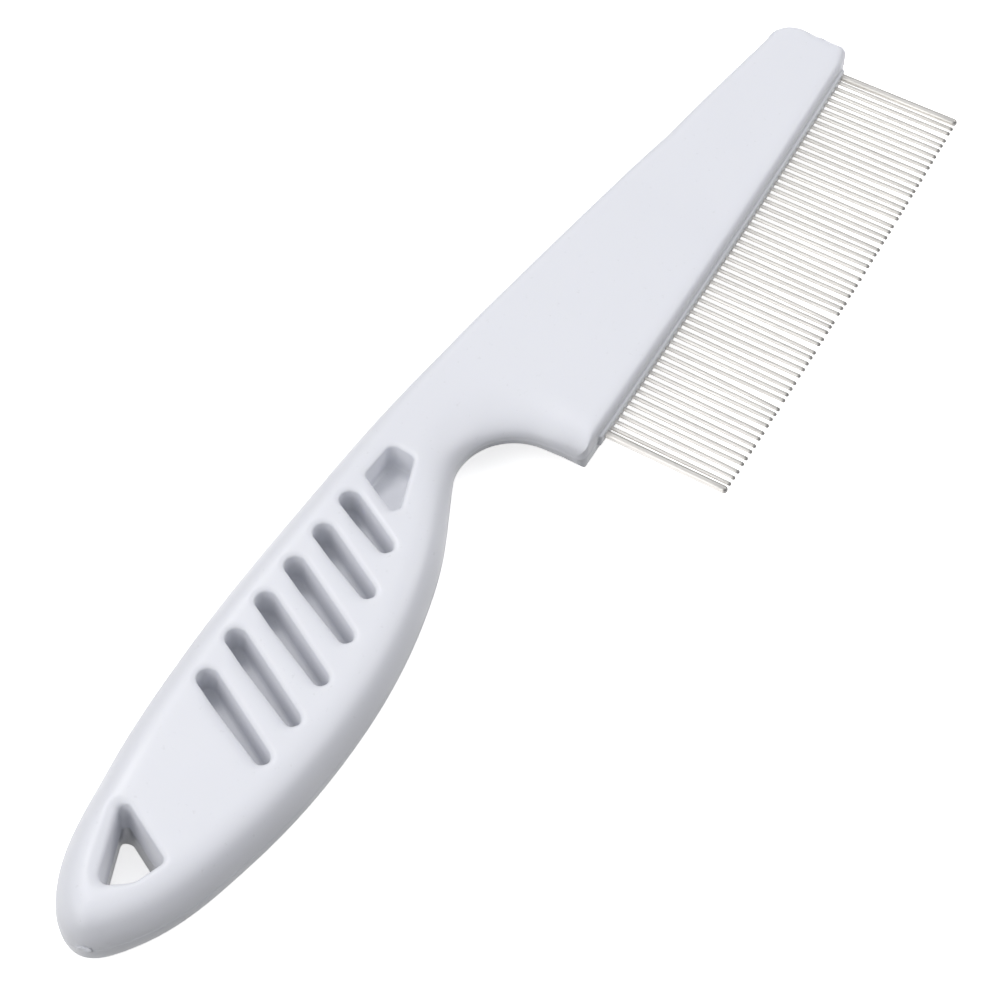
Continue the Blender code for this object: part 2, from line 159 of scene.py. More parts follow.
# how finely the moulding is meshed
EDGE_STEP = 0.42
WALL_STEP = 0.3
WEDGE_STEP = 0.28
GRID_STEP = 1.1
GRID_TOP_Y = 31
EDGE_ROWS = (0.006, 0.025, 0.06, 0.11, 0.175, 0.25, 0.34, 0.45, 0.58, 0.72, 0.86, 1.0)
FRONT_ROWS = (0.015, 0.06, 0.13, 0.23, 0.36, 0.52, 0.74, 1.0)
MOUTH_ROWS = (1.0, 0.8, 0.6, 0.42, 0.26, 0.12, 0.03, 0.0)
FLOOR_ROWS = (0.0, 0.04, 0.14, 0.3, 0.5, 0.75, 1.0)

bar_low, bar_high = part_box("pin_bar")
DATUM = np.array((
    bar_low.x / MM - BAR_START_X,
    bar_low.y / MM + ROW_SAGITTA,
    (bar_low.z + bar_high.z) / 2 / MM,
))


# ---- plane curves -------------------------------------------------------------------------------

def arc(centre, radius, start, end, steps):
    """Points on a circular arc, from one angle in degrees to another."""
    turn = np.radians(np.linspace(start, end, steps + 1))
    return np.array(centre) + radius * np.stack([np.cos(turn), np.sin(turn)], axis=1)


def bezier(start, start_heading, end, end_heading, steps):
    """A smooth curve between two points with a heading in degrees at each, both ends included."""
    a = np.array(start)
    d = np.array(end)
    reach = np.linalg.norm(d - a) / 3
    b = a + reach * np.array((cos(radians(start_heading)), sin(radians(start_heading))))
    c = d - reach * np.array((cos(radians(end_heading)), sin(radians(end_heading))))
    t = np.linspace(0, 1, steps + 1)[:, None]
    return (1 - t) ** 3 * a + 3 * t * (1 - t) ** 2 * b + 3 * t ** 2 * (1 - t) * c + t ** 3 * d


def rounded_polygon(corners, radii, steps):
    """A polygon, counter-clockwise, with each corner turned into an arc."""
    points = []
    for i, corner in enumerate(corners):
        here = Vector(corner)
        back = (Vector(corners[i - 1]) - here).normalized()
        ahead = (Vector(corners[(i + 1) % len(corners)]) - here).normalized()
        half = acos(max(-1.0, min(1.0, back.dot(ahead)))) / 2
        centre = here + (back + ahead).normalized() * (radii[i] / sin(half))
        first = back * (radii[i] * cos(half) / sin(half)) + here - centre
        sweep = pi - 2 * half
        for step in range(steps + 1):
            turned = first.copy()
            turned.rotate(Matrix.Rotation(sweep * step / steps, 2))
            points.append(tuple(centre + turned))
    return np.array(points)


def capsule(centre, length, width, angle, steps):
    """A slot outline with round ends, counter-clockwise."""
    radius = width / 2
    reach = np.array((cos(angle), sin(angle))) * (length / 2 - radius)
    heading = np.degrees(angle)
    far_end = arc(np.array(centre) + reach, radius, heading - 90, heading + 90, steps)
    near_end = arc(np.array(centre) - reach, radius, heading + 90, heading + 270, steps)
    return np.concatenate([far_end, near_end])


def resample(line, spacing, closed):
    """The same line with points at an even spacing."""
    if closed:
        line = np.concatenate([line, line[:1]])
    lengths = np.linalg.norm(np.diff(line, axis=0), axis=1)
    along = np.concatenate([[0], np.cumsum(lengths)])
    count = max(2, int(round(along[-1] / spacing)))
    where = np.linspace(0, along[-1], count + 1)
    points = np.stack([np.interp(where, along, line[:, k]) for k in (0, 1)], axis=1)
    return points[:-1] if closed else points


def normals(line, closed):
    """Unit normals on the left of a line, at its points."""
    if closed:
        ahead = np.roll(line, -1, axis=0) - line
        behind = line - np.roll(line, 1, axis=0)
    else:
        step = np.diff(line, axis=0)
        ahead = np.concatenate([step, step[-1:]])
        behind = np.concatenate([step[:1], step])
    ahead = ahead / np.linalg.norm(ahead, axis=1)[:, None]
    behind = behind / np.linalg.norm(behind, axis=1)[:, None]
    span = ahead + behind
    span /= np.linalg.norm(span, axis=1)[:, None]
    return np.stack([-span[:, 1], span[:, 0]], axis=1)


def nearest(points, line, values=None):
    """Distance from points to a line, and the nearest places on it or the values carried there."""
    a = line[:-1]
    span = line[1:] - a
    size = (span ** 2).sum(1)
    carried = line if values is None else values[:, None]
    distance = np.empty(len(points))
    found = np.empty((len(points), carried.shape[1]))
    for start in range(0, len(points), 1500):
        p = points[start:start + 1500]
        t = np.clip(((p[:, None] - a) * span).sum(2) / size, 0, 1)
        away = ((p[:, None] - a - t[:, :, None] * span) ** 2).sum(2)
        best = away.argmin(1)
        rows = np.arange(len(p))
        share = t[rows, best][:, None]
        distance[start:start + 1500] = np.sqrt(away[rows, best])
        found[start:start + 1500] = carried[best] * (1 - share) + carried[best + 1] * share
    return distance, found


def inside(points, outline):
    """Which points lie inside a closed outline."""
    a = outline
    b = np.roll(outline, -1, axis=0)
    y = points[:, 1][:, None]
    crosses = (a[:, 1] > y) != (b[:, 1] > y)
    rise = b[:, 1] - a[:, 1]
    rise = np.where(rise == 0, 1e-12, rise)
    at = a[:, 0] + (y - a[:, 1]) / rise * (b[:, 0] - a[:, 0])
    return (crosses & (points[:, 0][:, None] < at)).sum(1) % 2 == 1


# ---- the moulding's surface ---------------------------------------------------------------------

def row_y(x):
    """The bowed line where the pins leave the pin bar; zero at both guard pins."""
    return ROW_RADIUS - ROW_SAGITTA - np.sqrt(ROW_RADIUS ** 2 - (x - ROW_LENGTH / 2) ** 2)


def front_face_y(x):
    """The front face of the head: parallel to the row, and leaning back past the guard pin."""
    relief = TIP_RELIEF * np.maximum(0.0, x - TIP_RELIEF_X) / (HEAD_TIP_X - TIP_RELIEF_X)
    return row_y(x) + FRONT_SETBACK + relief


def smooth_step(value, low, high):
    """0 below low, 1 above high, and a smooth rise between them."""
    t = np.clip((value - low) / (high - low), 0, 1)
    return t * t * (3 - 2 * t)


def soft_edges():
    """Tip, back, handle and neck: every edge of the outline but the front face, counter-clockwise."""
    pieces = [np.array([(HEAD_TIP_X, -2.0)]), arc((HEAD_TIP_X - TIP_CORNER, 8.0), TIP_CORNER, 0, 80, 40)]
    for before, knot in zip(EDGE_KNOTS, EDGE_KNOTS[1:]):
        pieces.append(bezier(before[:2], before[2], knot[:2], knot[2], 60))
    pieces.append(arc(NECK_CENTRE, NECK_RADIUS, 112, 2, 60))
    pieces.append(np.array([(HEAD_END_X, 3.6), (HEAD_END_X, -2.0)]))
    line = np.concatenate(pieces)
    keep = np.concatenate([[True], np.linalg.norm(np.diff(line, axis=0), axis=1) > 1e-6])
    return line[keep]


def front_edge():
    """The front face of the head seen from above, with the rounded corner at each end."""
    neck_x = HEAD_END_X + FRONT_CORNER
    tip_x = HEAD_TIP_X - FRONT_CORNER
    x = np.linspace(neck_x, tip_x, 300)[1:-1]
    neck_corner = arc((neck_x, front_face_y(neck_x) + FRONT_CORNER), FRONT_CORNER, 180, 270, 12)
    tip_corner = arc((tip_x, front_face_y(tip_x) + FRONT_CORNER), FRONT_CORNER, 282, 360, 12)
    return np.concatenate([neck_corner, np.stack([x, front_face_y(x)], axis=1), tip_corner])


def half_thickness(x):
    """Flat along the handle, sloping down through the neck, and a slight taper along the head."""
    head = HEAD_HALF + (TIP_HALF - HEAD_HALF) * np.maximum(0.0, x) / HEAD_TIP_X
    return HANDLE_HALF + (head - HANDLE_HALF) * smooth_step(x, SHOULDER_X, SLOPE_END_X)


def arch_share(place):
    """1 at the middle of the neck arch, falling to 0 away from it."""
    return np.exp(-(((place - np.array(ARCH_MIDDLE)) / ARCH_REACH) ** 2).sum(1))


def edge_width(place):
    """Width of the rounded edge: wide round the handle and the neck, narrow round the head."""
    on_back = smooth_step(place[:, 1], *BACK_EDGE_Y) * smooth_step(place[:, 0], *BACK_EDGE_X)
    on_tip = smooth_step(place[:, 0], *TIP_EDGE_X)
    narrowing = (HEAD_EDGE - HANDLE_EDGE) * np.maximum(on_back, on_tip)
    return HANDLE_EDGE + narrowing + ARCH_EDGE * arch_share(place)


def rounded_edge(distance, width, low, high, fullness=EDGE_FULLNESS):
    """Height of a rounded edge at a distance in from its foot."""
    t = 1 - np.clip(distance / width, 0, 1)
    return low + (high - low) * np.sqrt(np.clip(1 - t ** fullness, 0, 1))


def blank_height(points, edges, front):
    """Height of the upper surface over the parting plane, without the recesses."""
    full = half_thickness(points[:, 0])
    distance, place = nearest(points, edges)
    width = edge_width(place)
    blend = np.clip((HANDLE_EDGE - width) / (HANDLE_EDGE - HEAD_EDGE), 0, 1)
    land = PARTING_LAND + (full - HEAD_EDGE - PARTING_LAND) * blend
    fullness = EDGE_FULLNESS + (ARCH_FULLNESS - EDGE_FULLNESS) * arch_share(place)
    soft = rounded_edge(distance, width, land, full, fullness)
    over_front = rounded_edge(nearest(points, front)[0], FRONT_EDGE_WIDTH, full - FRONT_EDGE_DROP, full)
    return np.minimum(soft, over_front)


class Recess:
    """A recess in the faces: its wall line, how soft its mouth is, and how its floor climbs.

    Runs are measured from the start along a direction, in millimetres.
    """

    def __init__(self, line, start, along, soft_run, climb_run=None):
        self.line = line
        self.closed = np.concatenate([line, line[:1]])
        self.start = np.array(start)
        self.along = np.array(along) / np.linalg.norm(along)
        self.climb_run = climb_run
        faces_away = smooth_step(-normals(line, True) @ np.array(MOUTH_SOFT_SIDE), -0.3, 0.8)
        self.softness = faces_away * smooth_step((line - self.start) @ self.along, *soft_run)
        self.widths = self.mouth_width(self.softness)

    def mouth_width(self, softness):
        """Width of the rounding of the mouth."""
        return MOUTH_WIDTHS[0] + (MOUTH_WIDTHS[1] - MOUTH_WIDTHS[0]) * softness

    def near(self, points):
        """Distance from points to the wall line, and the softness of the mouth there."""
        distance, soft = nearest(points, self.closed, np.concatenate([self.softness, self.softness[:1]]))
        return distance, soft[:, 0]

    def floor(self, points, top):
        """Height of the floor: level, or climbing to just under the face."""
        if self.climb_run is None:
            return np.full(len(points), WEB)
        climb = smooth_step((points - self.start) @ self.along, *self.climb_run)
        return WEB + (top - MOUTH_DROPS[1] - FLOOR_FILLET - WEB) * climb


def recessed(top, points, zone, through=False):
    """Height after a recess is taken out: rounded mouth, drafted wall, filleted floor."""
    floor = zone.floor(points, top)
    distance, softness = zone.near(points)
    depth = np.where(inside(points, zone.line), 0.0 if through else distance, -distance)
    mouth = np.clip(1 + depth / zone.mouth_width(softness), 0, 1)
    drop = MOUTH_DROPS[0] + (MOUTH_DROPS[1] - MOUTH_DROPS[0]) * softness
    rim = top - drop * (1 - np.sqrt(1 - mouth ** 2))
    wall_foot = floor + FLOOR_FILLET
    wall = rim + (wall_foot - rim) * np.clip(depth / WALL_DRAFT, 0, 1)
    turn = 1 - np.clip((depth - WALL_DRAFT) / FLOOR_FILLET, 0, 1)
    ground = floor + FLOOR_FILLET * (1 - np.sqrt(1 - turn ** 2))
    return np.where(depth <= 0, rim, np.where(depth < WALL_DRAFT, wall, ground))


class Mesher:
    """Points and links for a constrained triangulation, with a coarse grid to keep points apart."""

    CELL = 0.5

    def __init__(self):
        self.points = []
        self.links = []
        self.cells = {}

    def cell(self, p):
        """The grid cell of a point."""
        return int(p[0] // self.CELL), int(p[1] // self.CELL)

    def near(self, p, apart, feature):
        """Whether an earlier point of another feature is within a distance."""
        reach = int(apart / self.CELL) + 1
        cx, cy = self.cell(p)
        for i in range(cx - reach, cx + reach + 1):
            for j in range(cy - reach, cy + reach + 1):
                for q, other in self.cells.get((i, j), ()):
                    if other != feature and (p[0] - q[0]) ** 2 + (p[1] - q[1]) ** 2 < apart * apart:
                        return True
        return False

    def add(self, p, feature):
        """Adds a point, and gives its index."""
        self.points.append((float(p[0]), float(p[1])))
        self.cells.setdefault(self.cell(p), []).append((p, feature))
        return len(self.points) - 1

    def row(self, line, allowed, apart, feature, closed):
        """Adds a row's allowed points that are clear of other features, and links its neighbours."""
        made = []
        for p, good in zip(line, allowed):
            made.append(self.add(p, feature) if good and not self.near(p, apart, feature) else None)
        pairs = list(zip(made, made[1:]))
        if closed:
            pairs.append((made[-1], made[0]))
        self.links += [pair for pair in pairs if None not in pair]
        return made


def recesses_and_hole():
    """The six slots, the wedge and the hanging hole, in that order."""
    along = np.array((cos(SLOT_ANGLE), sin(SLOT_ANGLE)))
    across = np.array((-along[1], along[0]))
    zones = []
    for i, length in enumerate(SLOT_LENGTHS):
        centre = np.array((SLOT_FIRST_X - SLOT_PITCH * i, SLOT_CENTRES_Y[i]))
        start = centre - along * length / 2
        line = capsule(centre, length, SLOT_WIDTH, SLOT_ANGLE, 24)
        inset = SLOT_TAPER * smooth_step((line - start) @ along, *SLOT_TAPER_RUN)
        line += across * (inset * (0.5 - (line - centre) @ across / SLOT_WIDTH))[:, None]
        zones.append(Recess(resample(line, WALL_STEP, True), start, along, SLOT_SOFT_RUN))
    wedge = resample(rounded_polygon(WEDGE_CORNERS, WEDGE_RADII, 10), WEDGE_STEP, True)
    zones.append(Recess(wedge, WEDGE_START, WEDGE_HEADING, WEDGE_SOFT_RUN, WEDGE_CLIMB_RUN))
    hole = resample(rounded_polygon(HANG_CORNERS, HANG_RADII, 10), WALL_STEP, True)
    zones.append(Recess(hole, (0.0, 0.0), (-1.0, 0.0), (0.0, 1.0)))
    return zones


def clear_of(zones, points, margin):
    """Which points lie outside every recess and its rounded mouth, with a margin."""
    good = np.ones(len(points), bool)
    for zone in zones:
        distance, softness = zone.near(points)
        good &= ~inside(points, zone.line) & (distance > zone.mouth_width(softness) + margin)
    return good


def face_plan(edges, front, zones):
    """The triangulated plan of one face: places, triangles, and the rims of the outline and the hole."""
    above = edges[edges[:, 1] > front[-1, 1] + 0.5]
    soft = resample(above, EDGE_STEP, False)
    outline = np.concatenate([soft, front])
    mesher = Mesher()
    rim = mesher.row(outline, np.ones(len(outline), bool), 0.0, "outline", True)
    for k, zone in enumerate(zones):
        across = normals(zone.line, True)
        steps = [-zone.widths * share for share in MOUTH_ROWS]
        if zone is not zones[-1]:
            steps += [np.full(len(zone.line), WALL_DRAFT + FLOOR_FILLET * share) for share in FLOOR_ROWS]
        for step in steps:
            line = zone.line + across * step[:, None]
            hole_rim = mesher.row(line, np.ones(len(line), bool), 0.0, f"zone{k}", True)

    soft_normals = normals(soft, False)
    widths = edge_width(soft)
    for share in EDGE_ROWS:
        line = soft + soft_normals * (widths * share)[:, None]
        good = inside(line, outline) & clear_of(zones, line, 0.12)
        good &= nearest(line, edges)[0] > widths * share * 0.97 - 0.002
        good &= line[:, 1] > front_face_y(line[:, 0]) + 0.05
        mesher.row(line, good, 0.4 * HEAD_EDGE * share, "soft", False)
    front_normals = normals(front, False)
    for share in FRONT_ROWS:
        line = front + front_normals * FRONT_EDGE_WIDTH * share
        good = inside(line, outline) & (nearest(line, front)[0] > FRONT_EDGE_WIDTH * share * 0.97)
        mesher.row(line, good, 0.4 * FRONT_EDGE_WIDTH * share, "front", False)
    grid = []
    for i in range(int((HEAD_TIP_X - HANDLE_END_X) / GRID_STEP) + 1):
        for j in range(int(GRID_TOP_Y / GRID_STEP)):
            grid.append((HANDLE_END_X + GRID_STEP * (i + 0.5 * (j % 2)), GRID_STEP * j * 0.95 + 0.6))
    grid = np.array(grid)
    good = inside(grid, outline) & clear_of(zones, grid, 0.3)
    for p, ok in zip(grid, good):
        if ok and not mesher.near(p, GRID_STEP / 2, "grid"):
            mesher.add(p, "grid")

    places, _, faces, old_points, *_ = delaunay_2d_cdt(
        [Vector(p) for p in mesher.points], mesher.links, [], 1, 1e-6)
    places = np.array([tuple(p) for p in places])
    new_index = {}
    for i, sources in enumerate(old_points):
        for source in sources:
            new_index[source] = i
    faces = np.array([list(f) for f in faces])
    faces = faces[~inside(places[faces].mean(1), zones[-1].line)]
    rims = [np.array([new_index[i] for i in ids]) for ids in (rim, hole_rim)]
    return places, faces, rims


class Shell:
    """Vertices and faces that grow ring by ring."""

    def __init__(self, verts, polygons):
        self.verts = verts
        self.polygons = polygons
        self.total = sum(len(v) for v in verts)

    def ring(self, points, z):
        """Adds points at a height, and gives their indices."""
        self.verts.append(np.column_stack([points, np.broadcast_to(z, len(points))]))
        self.total += len(points)
        return np.arange(self.total - len(points), self.total)

    def band(self, upper, lower, skip=None):
        """Faces between two closed rings, apart from those that are skipped."""
        for i in range(len(upper)):
            j = (i + 1) % len(upper)
            if skip is None or not skip[i]:
                self.polygons.append((upper[i], lower[i], lower[j], upper[j]))


def side_wall(shell, places, height, rim, count):
    """The side of the moulding, with the parting ridge, and the groove for the pin bar."""
    loop = places[rim]
    out = -normals(loop, True)
    shelf = np.minimum(BAR_HALF + GROOVE_GAP, 0.75 * height[rim])
    levels = [
        rim,
        shell.ring(loop, shelf),
        shell.ring(loop, RIDGE_FOOT),
        shell.ring(loop + out * RIDGE_RISE, RIDGE_TOP),
        shell.ring(loop + out * RIDGE_RISE, -RIDGE_TOP),
        shell.ring(loop, -RIDGE_FOOT),
        shell.ring(loop, -shelf),
        rim + count,
    ]
    over_bar = (loop[:, 1] < 1.2) & (loop[:, 0] > BAR_START_X) & (loop[:, 0] < BAR_END_X)
    skip = over_bar & np.roll(over_bar, -1)
    for k, (upper, lower) in enumerate(zip(levels, levels[1:])):
        shell.band(upper, lower, skip if 1 <= k <= 5 else None)
    held = np.flatnonzero(over_bar)
    held = held[np.argsort(loop[held, 0])]
    inner = loop[held] + np.array((0.0, GROOVE_DEPTH))
    inner_top = shell.ring(inner, BAR_HALF + GROOVE_GAP)
    inner_bottom = shell.ring(inner, -BAR_HALF - GROOVE_GAP)
    strips = (levels[1][held], inner_top, inner_bottom, levels[6][held])
    for i in range(len(held) - 1):
        for near, far in zip(strips, strips[1:]):
            shell.polygons.append((near[i], far[i], far[i + 1], near[i + 1]))
    for end in (0, -1):
        edge = [int(level[held[end]]) for level in levels[1:7]]
        cap = edge + [int(inner_bottom[end]), int(inner_top[end])]
        shell.polygons.append(tuple(cap if end else cap[::-1]))


def hole_wall(shell, places, height, rim, count):
    """The wall of the hanging hole, drafted from both faces to a thin lip at the parting plane."""
    loop = places[rim]
    across = normals(loop, True)
    waist = loop + across * HANG_DRAFT
    half_waist = loop + across * HANG_DRAFT * 0.5
    lip = waist + across * 0.05
    middle = height[rim] * 0.5
    levels = [
        rim,
        shell.ring(half_waist, middle),
        shell.ring(waist, 0.1),
        shell.ring(lip, 0.04),
        shell.ring(lip, -0.04),
        shell.ring(waist, -0.1),
        shell.ring(half_waist, -middle),
        rim + count,
    ]
    for upper, lower in zip(levels, levels[1:]):
        shell.band(lower, upper)


def handle_mesh():
    """Vertices and faces of the whole moulding, in millimetres from the datum."""
    edges = soft_edges()
    front = front_edge()
    zones = recesses_and_hole()
    places, faces, (rim, hole_rim) = face_plan(edges, front, zones)
    height = blank_height(places, edges, front)
    for zone in zones:
        height = recessed(height, places, zone, through=zone is zones[-1])
    count = len(places)
    shell = Shell(
        [np.column_stack([places, height]), np.column_stack([places, -height])],
        [tuple(f) for f in faces] + [tuple(f[::-1] + count) for f in faces])
    side_wall(shell, places, height, rim, count)
    hole_wall(shell, places, height, hole_rim, count)
    return np.concatenate(shell.verts), shell.polygons


def gate_mark():
    """The torn stub where the moulding was cut off its runner, on the parting line at the end."""
    scatter = np.random.RandomState(3)
    around, rings = 18, 9
    verts = [(0.0, 0.0, -1.0)]
    for tilt in np.linspace(-pi / 2, pi / 2, rings + 2)[1:-1]:
        for spin in 2 * pi * np.arange(around) / around:
            verts.append((cos(tilt) * cos(spin), cos(tilt) * sin(spin), sin(tilt)))
    verts.append((0.0, 0.0, 1.0))
    verts = np.array(verts) * scatter.uniform(0.86, 1.1, (len(verts), 1))
    torn = scatter.uniform(-0.62, -0.40, len(verts))
    verts[:, 0] = np.maximum(verts[:, 0], torn)
    polygons = []
    for i in range(around):
        j = (i + 1) % around
        polygons.append((0, 1 + j, 1 + i))
        for k in range(rings - 1):
            a, b = 1 + k * around, 1 + (k + 1) * around
            polygons.append((a + i, a + j, b + j, b + i))
        top = 1 + (rings - 1) * around
        polygons.append((len(verts) - 1, top + i, top + j))
    sized = verts * np.array(GATE_SIZE)
    turned = np.column_stack([
        sized[:, 0] * cos(GATE_TURN) - sized[:, 1] * sin(GATE_TURN),
        sized[:, 0] * sin(GATE_TURN) + sized[:, 1] * cos(GATE_TURN),
        sized[:, 2]])
    return turned + np.array(GATE_PLACE), polygons


def new_piece(name, verts, polygons, look, sharp=40):
    """A smooth-shaded object from vertices in datum millimetres."""
    mesh = bpy.data.meshes.new(name)
    mesh.from_pydata(((verts + DATUM) * MM).tolist(), [], [tuple(int(i) for i in p) for p in polygons])
    mesh.validate()
    mesh.update()
    mesh.shade_smooth()
    mesh.set_sharp_from_angle(angle=radians(sharp))
    mesh.materials.append(look)
    piece = bpy.data.objects.new(name, mesh)
    bpy.context.scene.collection.objects.link(piece)
    return piece


def fix_normals(piece):
    """Turns the faces of a closed mesh outwards."""
    bm = bmesh.new()
    bm.from_mesh(piece.data)
    bmesh.ops.recalc_face_normals(bm, faces=bm.faces)
    bm.to_mesh(piece.data)
    bm.free()


# ---- pins and bar -------------------------------------------------------------------------------

def tube_faces(rings, sides):
    """Faces that join rings of points into a closed tube with flat ends."""
    polygons = []
    for k in range(rings - 1):
        for i in range(sides):
            j = (i + 1) % sides
            polygons.append((k * sides + i, k * sides + j, (k + 1) * sides + j, (k + 1) * sides + i))
    polygons.append(tuple(range(sides))[::-1])
    last = (rings - 1) * sides
    polygons.append(tuple(range(last, last + sides)))
    return polygons


def wire(index, bend_x, bend_z, look):
    """One pin: straight in the bar, very slightly bent outside it, with a rounded tip."""
    guard = index in (0, PIN_COUNT + 1)
    radius = GUARD_RADIUS if guard else PIN_RADIUS
    x = index * PIN_PITCH
    lean = asin((x - ROW_LENGTH / 2) / ROW_RADIUS)
    foot = np.array((x, row_y(x), 0.0))
    along = np.array((sin(lean), -cos(lean), 0.0))
    across = np.array((cos(lean), sin(lean), 0.0))
    up = np.array((0.0, 0.0, 1.0))
    stations = list(np.linspace(-PIN_ROOT, 0.0, 3)) + list(np.linspace(2.0, PIN_REACH - radius, 8))
    sizes = [radius] * len(stations)
    for turn in np.radians((18, 36, 54, 72, 84)):
        stations.append(PIN_REACH - radius * (1 - sin(turn)))
        sizes.append(radius * cos(turn))
    turn = 2 * pi * np.arange(WIRE_SIDES) / WIRE_SIDES
    round_section = np.cos(turn)[:, None] * across + np.sin(turn)[:, None] * up
    verts = []
    for s, size in zip(stations, sizes):
        t = max(0.0, s) / PIN_REACH
        centre = foot + along * s + across * bend_x * t ** 1.6 + up * bend_z * t ** 2
        verts.append(centre + size * round_section)
    polygons = tube_faces(len(stations), WIRE_SIDES)
    name = "guard_wire_neck" if index == 0 else "guard_wire_tip" if guard else f"wire_{index:02d}"
    piece = new_piece(name, np.concatenate(verts), polygons, look, sharp=50)
    reach = np.repeat(stations, WIRE_SIDES) / PIN_REACH
    shade = piece.data.attributes.new("reach", "FLOAT", "POINT")
    shade.data.foreach_set("value", reach.astype(np.float32))
    return piece


def bar_mesh():
    """The pin bar: a moulded strip with softened edges that follows the bowed row."""
    profile = np.concatenate([
        [(BAR_DEPTH, -BAR_HALF), (BAR_DEPTH, BAR_HALF)],
        arc((BAR_EDGE, BAR_HALF - BAR_EDGE), BAR_EDGE, 90, 180, 5),
        arc((BAR_EDGE, BAR_EDGE - BAR_HALF), BAR_EDGE, 180, 270, 5),
    ])
    middle = np.array((BAR_DEPTH / 2, 0.0))
    stations = [(BAR_START_X, 0.86), (BAR_START_X + 0.05, 0.94), (BAR_START_X + 0.16, 1.0)]
    stations += [(x, 1.0) for x in np.linspace(BAR_START_X + 1, BAR_END_X - 1, 90)]
    stations += [(BAR_END_X - 0.16, 1.0), (BAR_END_X - 0.05, 0.94), (BAR_END_X, 0.86)]
    verts = []
    for x, size in stations:
        ring = middle + (profile - middle) * size
        verts += [(x, row_y(x) + y, z) for y, z in ring]
    return np.array(verts), tube_faces(len(stations), len(profile))


# ---- materials ----------------------------------------------------------------------------------

class Look:
    """A node material with short helpers."""

    def __init__(self, name):
        self.material = bpy.data.materials.new(name)
        self.material.use_nodes = True
        self.tree = self.material.node_tree
        self.shader = self.tree.nodes["Principled BSDF"]
        self.where = self.tree.nodes.new("ShaderNodeTexCoord").outputs["Object"]

    def node(self, kind, inputs=(), **settings):
        """A new node with its inputs linked or set."""
        made = self.tree.nodes.new(kind)
        for key, value in settings.items():
            setattr(made, key, value)
        for key, value in dict(inputs).items():
            self.feed(made.inputs[key], value)
        return made

    def feed(self, socket, value):
        """Links a socket to another node's output, or sets it to a plain value."""
        if isinstance(value, bpy.types.NodeSocket):
            self.tree.links.new(value, socket)
        else:
            socket.default_value = value

    def noise(self, scale, detail=3.0, stretch=(1, 1, 1), turn=0.0):
        """Noise from 0 to 1, fixed to the object."""
        place = self.node("ShaderNodeMapping", {
            "Vector": self.where, "Rotation": (0, 0, turn), "Scale": stretch})
        return self.node("ShaderNodeTexNoise", {
            "Vector": place.outputs[0], "Scale": scale, "Detail": detail}).outputs["Fac"]

    def spread(self, value, low, high, to_low, to_high):
        """A value's range, mapped smoothly to another range."""
        return self.node("ShaderNodeMapRange", {
            "Value": value, "From Min": low, "From Max": high, "To Min": to_low, "To Max": to_high},
            interpolation_type="SMOOTHSTEP").outputs["Result"]

    def mix(self, factor, a, b):
        """A mix of two colours."""
        return self.node("ShaderNodeMix", {0: factor, 6: a, 7: b}, data_type="RGBA").outputs[2]

    def sum(self, a, b, how="ADD"):
        """A sum, or another two-value operation."""
        return self.node("ShaderNodeMath", {0: a, 1: b}, operation=how).outputs[0]

    def bump(self, height, distance, strength, onto=None):
        """A bumped normal, which may lie on top of another."""
        inputs = {"Height": height, "Distance": distance, "Strength": strength}
        if onto is not None:
            inputs["Normal"] = onto
        return self.node("ShaderNodeBump", inputs).outputs[0]

    def join(self, **links):
        """The material, with its shader's inputs linked or set."""
        for key, value in links.items():
            self.feed(self.shader.inputs[key.replace("_", " ")], value)
        return self.material


def moulded_plastic(name, tint, shade, rough):
    """Satin white moulded plastic: faint flow clouding, orange peel and hairline rubbing marks."""
    look = Look(name)
    clouds = look.noise(35.0, 4.0)
    specks = look.noise(1500.0, 2.0)
    colour = look.mix(clouds, tint, shade)
    colour = look.mix(look.spread(specks, 0.66, 0.80, 0.0, 0.2), colour, (0.42, 0.42, 0.43, 1.0))
    hair_a = look.noise(1.0, 2.0, (55.0, 5200.0, 900.0), radians(14))
    hair_b = look.noise(1.0, 2.0, (70.0, 4300.0, 900.0), radians(-37))
    hairs = look.sum(look.spread(hair_a, 0.66, 0.74, 0.0, 1.0), look.spread(hair_b, 0.68, 0.76, 0.0, 1.0))
    patches = look.spread(look.noise(60.0, 3.0), 0.35, 0.7, rough, rough + 0.10)
    rubbed = look.sum(patches, look.sum(hairs, 0.10, "MULTIPLY"))
    peel = look.bump(look.noise(700.0, 2.0), 0.00002, 0.35)
    sink = look.bump(look.noise(90.0, 2.0), 0.00008, 0.25, peel)
    worn = look.bump(hairs, -0.000004, 0.4, sink)
    return look.join(
        Base_Color=colour, Roughness=rubbed, Normal=worn, IOR=1.49, Specular_IOR_Level=0.4,
        Subsurface_Weight=0.12, Subsurface_Radius=(0.0016, 0.0016, 0.0020), Subsurface_Scale=1.0)


def drawn_steel(name):
    """Drawn wire: fine lines along its length, and a tip painted dark as a stand-in for the dark sheen of
    its rounded end.
    """
    look = Look(name)
    lines = look.noise(1.0, 3.0, (6000.0, 90.0, 6000.0))
    tone = look.noise(1.0, 2.0, (900.0, 40.0, 900.0))
    colour = look.mix(tone, (0.71, 0.695, 0.665, 1.0), (0.53, 0.515, 0.49, 1.0))
    reach = look.node("ShaderNodeAttribute", attribute_name="reach").outputs["Fac"]
    # painted dark sheen: over the last few per cent of its length the pin's colour darkens towards the
    # rounded tip
    tip = look.spread(reach, 0.965, 0.99, 0.0, 0.85)
    colour = look.mix(tip, colour, (0.17, 0.165, 0.16, 1.0))
    rough = look.spread(lines, 0.3, 0.7, 0.34, 0.48)
    normal = look.bump(lines, 0.000003, 0.25)
    return look.join(Base_Color=colour, Roughness=rough, Normal=normal, Metallic=1.0)


